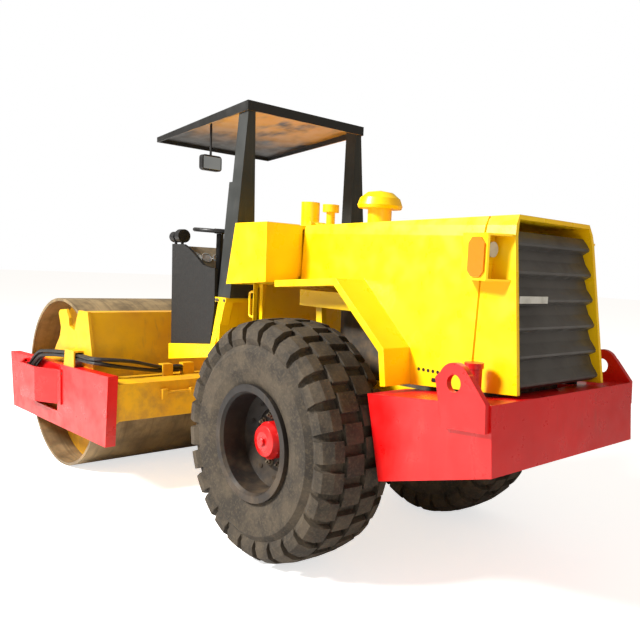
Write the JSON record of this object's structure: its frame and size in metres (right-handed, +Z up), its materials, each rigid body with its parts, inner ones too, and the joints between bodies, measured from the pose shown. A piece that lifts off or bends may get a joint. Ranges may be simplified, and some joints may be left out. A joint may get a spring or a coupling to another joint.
{
  "type": "single drum roller",
  "caption": "Articulated single drum roller with a smooth front drum, rubber-tyred rear axle, long sloping hood, open operator platform under a canopy, and a red counterweight.",
  "frame": {"origin": "on the ground under the middle of the machine's length and width", "axes": "+X forward, towards the drum; +Y to the machine's left; +Z up"},
  "size_m": [5.495, 2.62, 3.0698],
  "materials": {
    "yellow_paint": "gloss",
    "red_paint": "gloss",
    "black_paint": "satin",
    "grey_paint": "satin",
    "engine_paint": "matt",
    "console_plastic": "matt",
    "panel_plastic": "matt",
    "seat_vinyl": "grained",
    "tyre_rubber": "dusty",
    "rubber": "matt",
    "drum_steel": "worn",
    "rod_chrome": "polished",
    "amber_lens": "clear",
    "clear_lens": "clear",
    "radiator_core": "matt"
  },
  "bodies": {
    "rear_module": {"chassis": "yellow_paint", "rear_axle": "black_paint", "engine": "engine_paint", "radiator": "radiator_core", "counterweight": "red_paint", "hood_rests": "rubber", "lifting_lugs": "red_paint", "filler_post": "red_paint", "platform": "yellow_paint", "bulkhead": "yellow_paint", "side_boxes": "yellow_paint", "arch_shelves": "yellow_paint", "stacks": "yellow_paint", "console": "console_plastic", "dash_panel": "panel_plastic", "steering_column": "black_paint", "steering_wheel": "black_paint", "seat_base": "black_paint", "seat_cushion": "seat_vinyl", "seat_back": "seat_vinyl", "rops_posts": "grey_paint", "canopy": "black_paint", "rear_mirror": "black_paint", "work_lights": "black_paint"},
    "hood": {"engine_hood": "yellow_paint", "grille": "black_paint", "lamp_housings": "yellow_paint", "side_lenses": "amber_lens", "rear_lamps": "clear_lens", "precleaner": "yellow_paint"},
    "wheel_left": {"tyre_left": "tyre_rubber", "rim_left": "black_paint", "hub_left": "red_paint"},
    "wheel_right": {"tyre_right": "tyre_rubber", "rim_right": "black_paint", "hub_right": "red_paint"},
    "link": {"centre_link": "yellow_paint"},
    "cylinder_left": {"barrel_left": "yellow_paint"},
    "piston_left": {"rod_left": "rod_chrome"},
    "cylinder_right": {"barrel_right": "yellow_paint"},
    "piston_right": {"rod_right": "rod_chrome"},
    "front_module": {"drum_frame": "yellow_paint", "side_members": "red_paint", "motor_covers": "red_paint", "hoses": "rubber", "drum_carriers": "yellow_paint"},
    "drum": {"drum_shell": "drum_steel", "drum_heads": "yellow_paint"}
  },
  "joints": [
    {"name": "steer", "type": "hinge", "parent": "rear_module", "child": "link", "pos_m": [0.4175, 0, 0.77], "axis": [0, 0, 1], "range_deg": [-38, 38]},
    {"name": "oscillation", "type": "hinge", "parent": "link", "child": "front_module", "pos_m": [0.6, 0, 0.77], "axis": [1, 0, 0], "range_deg": [-9, 9]},
    {"name": "drum_spin", "type": "hinge", "parent": "front_module", "child": "drum", "pos_m": [1.8475, 0, 0.75], "axis": [0, 1, 0], "continuous": true},
    {"name": "wheel_left_spin", "type": "hinge", "parent": "rear_module", "child": "wheel_left", "pos_m": [-1.0825, 0.785, 0.785], "axis": [0, 1, 0], "continuous": true},
    {"name": "wheel_right_spin", "type": "hinge", "parent": "rear_module", "child": "wheel_right", "pos_m": [-1.0825, -0.785, 0.785], "axis": [0, 1, 0], "continuous": true},
    {"name": "hood_tilt", "type": "hinge", "parent": "rear_module", "child": "hood", "pos_m": [-0.7375, 0, 2.2], "axis": [0, 1, 0], "range_deg": [0, 50]},
    {"name": "cylinder_left_swing", "type": "hinge", "parent": "rear_module", "child": "cylinder_left", "pos_m": [-0.2025, 0.3, 0.77], "axis": [0, 0, 1], "range_deg": [-4, 4]},
    {"name": "piston_left_slide", "type": "slide", "parent": "cylinder_left", "child": "piston_left", "axis": [0.9905, -0.1376, 0], "range_m": [-0.14, 0.14]},
    {"name": "cylinder_right_swing", "type": "hinge", "parent": "rear_module", "child": "cylinder_right", "pos_m": [-0.2025, -0.3, 0.77], "axis": [0, 0, 1], "range_deg": [-4, 4]},
    {"name": "piston_right_slide", "type": "slide", "parent": "cylinder_right", "child": "piston_right", "axis": [0.9905, 0.1376, 0], "range_m": [-0.14, 0.14]}
  ],
  "couplings": [
    {"joint": "cylinder_left_swing", "follows": "steer", "ratio": 0.078},
    {"joint": "piston_left_slide", "follows": "steer", "m_per_rad": -0.2002},
    {"joint": "cylinder_right_swing", "follows": "steer", "ratio": 0.078},
    {"joint": "piston_right_slide", "follows": "steer", "m_per_rad": 0.2002}
  ]
}
